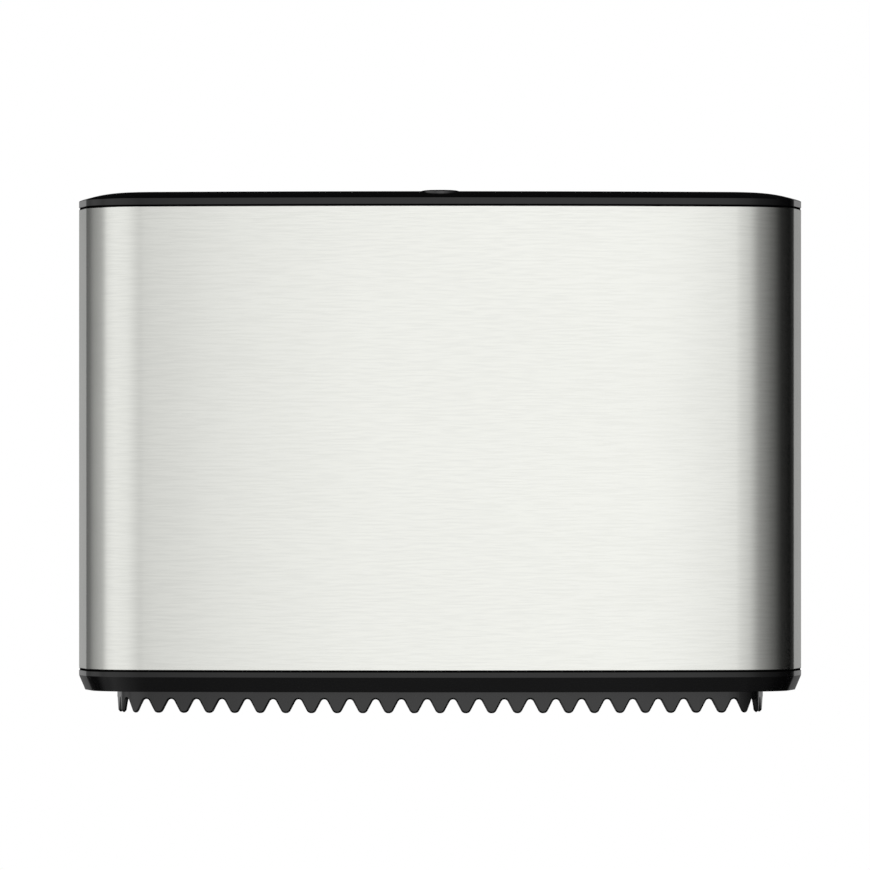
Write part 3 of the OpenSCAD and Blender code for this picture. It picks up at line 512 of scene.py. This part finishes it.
def crowned_block(crowding=1.8, fullness=0.8):
    """The cap's solid: an upright strip, and a crown that rises fast at the edge and then flattens."""
    bm, top = outline_block(0, REAR_Y + BEYOND, CAP_LOW, CAP_EDGE)
    done_in = 0.0
    done_up = 0.0
    for k in range(1, CROWN_STEPS + 1):
        inset = CROWN_RUN * (k / CROWN_STEPS) ** crowding
        up = CROWN_RISE * (1 - (1 - inset / CROWN_RUN) ** 2) ** fullness
        bmesh.ops.inset_region(
            bm, faces=top, thickness=inset - done_in, depth=0, use_boundary=True, use_even_offset=True,
        )
        moved_up(bm, list({v for f in top for v in f.verts}), up - done_up)
        done_in = inset
        done_up = up
    bmesh.ops.recalc_face_normals(bm, faces=bm.faces[:])
    cut = bmesh.ops.bisect_plane(
        bm, geom=bm.verts[:] + bm.edges[:] + bm.faces[:], plane_co=(0, REAR_Y, 0), plane_no=(0, 1, 0),
        clear_outer=True, dist=TOUCH,
    )
    rim_edges = [g for g in cut["geom_cut"] if isinstance(g, bmesh.types.BMEdge)]
    bmesh.ops.contextual_create(bm, geom=rim_edges)
    bmesh.ops.recalc_face_normals(bm, faces=bm.faces[:])
    return bm


def cap_shell():
    """The glossy cap: its crowned solid with the spacer under it, a hollow and the button's bore."""
    bm = crowned_block()
    shade(bm)
    piece = new_piece("cap_shell", bm, "cover", "top_cap")
    spacer, _ = outline_block(GAP_SETBACK, REAR_Y, STEEL_TOP, CAP_LOW + OVERLAP)
    carve(piece, spacer, "UNION")
    pocket, _ = outline_block(
        CAP_WALL, REAR_Y + CAP_REAR_WALL, STEEL_TOP - POCKET_BEYOND, CAP_UNDER,
    )
    carve(piece, pocket)
    bore = bmesh.new()
    bmesh.ops.create_cone(
        bore, cap_ends=True, segments=96, radius1=BUTTON_BORE, radius2=BUTTON_BORE,
        depth=BORE_LENGTH, matrix=Matrix.Translation((0, BUTTON_Y, CAP_EDGE)),
    )
    carve(piece, bore)
    soften(piece, width=0.3 * MM, segments=3, angle=32)
    # the spacer's faces in the gap get the painted shade, set by shadow_gap
    coat(piece, "cap_black", "gap_painted_shade")
    return piece


def bottom_trim():
    """The black trim, whose slanted face meets its strip at a crisp edge."""
    piece = dressed("bottom_trim", angle=18)
    # the spacer's faces in the gap get the painted shade, set by shadow_gap
    coat(piece, "trim_black", "gap_painted_shade")
    return piece


def shadow_gap(piece, low, high, near=0.05 * MM):
    """Painted shade: dull black without gloss on the spacer's faces in the narrow gap beside the steel,
    where no light gets in.
    """
    for polygon in piece.data.polygons:
        heights = [piece.data.vertices[k].co.z for k in polygon.vertices]
        if min(heights) > low - near and max(heights) < high + near:
            polygon.material_index = 1


def outward(at):
    """Direction out of the cover's outline at a place, seen from above."""
    right = Vector((abs(at.x), at.y, 0))
    away = right - (BOW_C if right.x < CORNER_C.x else CORNER_C)
    if right.x > CORNER_C.x and away.dot(SIDE_BACK) > 0:
        away = SIDE_OUT
    return Vector((math.copysign(away.x, at.x), away.y, 0)).normalized()


def toothed_skirt(rim=0.85 * MM, back=0.85 * MM, facing=0.97):
    """The tear skirt with a slanted rim round every tooth, in front and behind; the slant is real, and
    its dull black finish without gloss is painted shade that outlines the teeth.
    """
    bm = node_shape("tear_skirt")
    for side in (1, -1):
        bm.normal_update()
        broad = {
            f for f in bm.faces
            if side * f.normal.dot(outward(f.calc_center_median())) > facing
            and min(v.co.z for v in f.verts) < TRIM_LOW
        }
        slant = set(bmesh.ops.inset_region(
            bm, faces=list(broad), thickness=rim, depth=0, use_boundary=True, use_even_offset=True,
        )["faces"])
        edge_verts = {
            v for f in slant for v in f.verts if any(g not in slant | broad for g in v.link_faces)
        }
        for vert in edge_verts:
            vert.co -= side * back * outward(vert.co)
        # the slanted rim gets the painted shade
        for face in slant:
            face.material_index = 1
    bm.normal_update()
    shade(bm)
    piece = new_piece("toothed_skirt", bm, "cover", "tear_skirt")
    # the second finish is the painted shade on the slanted rims
    coat(piece, "skirt_grey", "rim_painted_shade")


def wound_wire(name, node, place, mean_r, wire, turns, height, sides=12, steps_a_turn=40, slack=1.03):
    """A spring of round wire whose first and last turns lie closed."""
    closed = slack * wire
    lead = (height - wire - 2 * closed) / (turns - 2)
    bm = bmesh.new()
    ring = bmesh.ops.create_circle(
        bm, cap_ends=False, segments=sides, radius=wire / 2,
        matrix=Matrix.Translation((mean_r, 0, wire / 2)) @ Matrix.Rotation(math.pi / 2, 4, "X"),
    )["verts"]
    last = ring + list(dict.fromkeys(e for v in ring for e in v.link_edges))
    for part, pitch in ((1, closed), (turns - 2, lead), (1, closed)):
        steps = round(steps_a_turn * part)
        last = bmesh.ops.spin(
            bm, geom=last, cent=(0, 0, 0), axis=(0, 0, 1), dvec=(0, 0, pitch * part / steps),
            angle=2 * math.pi * part, steps=steps, use_duplicate=False,
        )["geom_last"]
    bmesh.ops.holes_fill(bm, edges=[e for e in bm.edges if len(e.link_faces) == 1], sides=sides)
    bmesh.ops.recalc_face_normals(bm, faces=bm.faces[:])
    bmesh.ops.transform(bm, matrix=place, verts=bm.verts[:])
    shade(bm, angle=50)
    piece = new_piece(name, bm, body_of_node[node], node)
    coat(piece, slot_of_node[node])
    return piece


front_sheet()
shadow_gap(cap_shell(), STEEL_TOP, CAP_LOW)
toothed_skirt()
wound_wire(
    "brake_wire", "brake_spring", Matrix.Translation(BRAKE_SEAT) @ Matrix.Rotation(math.pi / 2, 4, "X"),
    BRAKE_R, BRAKE_WIRE, BRAKE_TURNS, BRAKE_H,
)
latch_wire = wound_wire(
    "latch_wire", "latch_spring", Matrix.Translation(LATCH_SEAT),
    LATCH_R, LATCH_WIRE, LATCH_TURNS, LATCH_H,
)
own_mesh(latch_wire)
for node_name in frame["nodes"]:
    if node_name in ("steel_front", "top_cap", "tear_skirt", "brake_spring", "latch_spring"):
        continue
    if node_name == "bottom_trim":
        shadow_gap(bottom_trim(), -CAP_LOW, -STEEL_TOP)
    else:
        dressed(node_name)


# ------------------------------------------------------------------ studio

def studio_world():
    """White for the camera, soft panels for what the gloss mirrors, and an even level for the rest."""
    world = bpy.data.worlds.new("studio")
    bpy.context.scene.world = world
    world.use_nodes = True
    tree = world.node_tree
    tree.nodes.clear()
    where = tree.nodes.new("ShaderNodeTexCoord")
    parts = tree.nodes.new("ShaderNodeSeparateXYZ")
    tree.links.new(where.outputs["Generated"], parts.inputs["Vector"])
    x, y, z = parts.outputs
    bearing = calc(tree, "ARCTAN2", x, calc(tree, "MULTIPLY", y, -1.0))
    turn = calc(tree, "ADD", calc(tree, "DIVIDE", bearing, 2 * math.pi), 0.5)
    around = levels(tree, turn, [(a / 360 + 0.5, level) for a, level in ROUND_STOPS])
    height = levels(
        tree, calc(tree, "ADD", calc(tree, "MULTIPLY", z, 0.5), 0.5),
        [(math.sin(math.radians(a)) / 2 + 0.5, level) for a, level in HEIGHT_STOPS],
    )
    above = calc(tree, "MULTIPLY", levels(tree, y, BEHIND_ABOVE), levels(tree, z, ABOVE_STOPS))
    down = calc(tree, "MULTIPLY", z, -1.0)
    below = calc(tree, "MULTIPLY", levels(tree, y, BEHIND_BELOW), levels(tree, down, BELOW_STOPS))
    dimmed = calc(tree, "ADD", calc(tree, "MULTIPLY", above, ABOVE_SHARE), below)
    clear = calc(tree, "MULTIPLY", calc(tree, "SUBTRACT", 1.0, dimmed), GLOSS_LIGHT)
    gloss = calc(tree, "MULTIPLY", calc(tree, "MULTIPLY", around, height), clear)
    path = tree.nodes.new("ShaderNodeLightPath").outputs
    indirect = blend(tree, path["Is Glossy Ray"], background(tree, EVEN_LIGHT), background(tree, gloss))
    seen = calc(tree, "MAXIMUM", path["Is Camera Ray"], path["Is Transmission Ray"])
    out = tree.nodes.new("ShaderNodeOutputWorld")
    tree.links.new(blend(tree, seen, indirect, background(tree, 1.0)), out.inputs["Surface"])


def soft_lamp(name, place, size, watts):
    """A round lamp aimed at the dispenser, which no gloss mirrors."""
    data = bpy.data.lights.new(name, "AREA")
    data.shape = "DISK"
    data.size = size
    data.energy = watts
    lamp = bpy.data.objects.new(name, data)
    lamp.location = place
    lamp.rotation_euler = (LAMP_AIM - Vector(place)).to_track_quat("-Z", "Y").to_euler()
    lamp.visible_glossy = False
    bpy.context.collection.objects.link(lamp)


def pale_floor():
    """A plain pale floor under the wall-hung dispenser, clear when it is seen from below."""
    bm = bmesh.new()
    bmesh.ops.create_circle(
        bm, cap_ends=True, segments=128, radius=FLOOR_R, matrix=Matrix.Translation(FLOOR_AT),
    )
    floor = linked("floor", bm)
    made, tree, shader, out = material("pale floor")
    tint = tones(tree, grain(tree, 3.0), (0.86, 0.86, 0.85), (0.88, 0.88, 0.87))
    tree.links.new(tint, shader.inputs["Base Color"])
    shader.inputs["Roughness"].default_value = 0.8
    side = tree.nodes.new("ShaderNodeNewGeometry").outputs["Backfacing"]
    nothing = tree.nodes.new("ShaderNodeBsdfTransparent").outputs["BSDF"]
    tree.links.new(blend(tree, side, shader.outputs["BSDF"], nothing), out.inputs["Surface"])
    floor.data.materials.append(made)
    floor.visible_glossy = False


def photo_camera():
    """The camera, level and straight in front, as in the photograph."""
    lens = bpy.data.cameras.new("camera")
    lens.sensor_width = 36
    lens.lens = CAMERA_LENS
    lens.shift_x = SHIFT_X / PHOTO_W
    lens.shift_y = SHIFT_Y / PHOTO_W
    lens.clip_end = 60
    camera = bpy.data.objects.new("camera", lens)
    camera.location = CAMERA_AT
    camera.rotation_euler = (math.pi / 2, 0, 0)
    bpy.context.collection.objects.link(camera)
    bpy.context.scene.camera = camera


studio_world()
soft_lamp("key", (-1.6, -2.4, 1.7), size=1.6, watts=42)
soft_lamp("fill", (2.0, -2.2, 0.4), size=1.8, watts=16)
soft_lamp("back", (0.6, 2.2, 1.5), size=1.6, watts=24)
pale_floor()
photo_camera()
bpy.context.scene.view_settings.view_transform = "Standard"
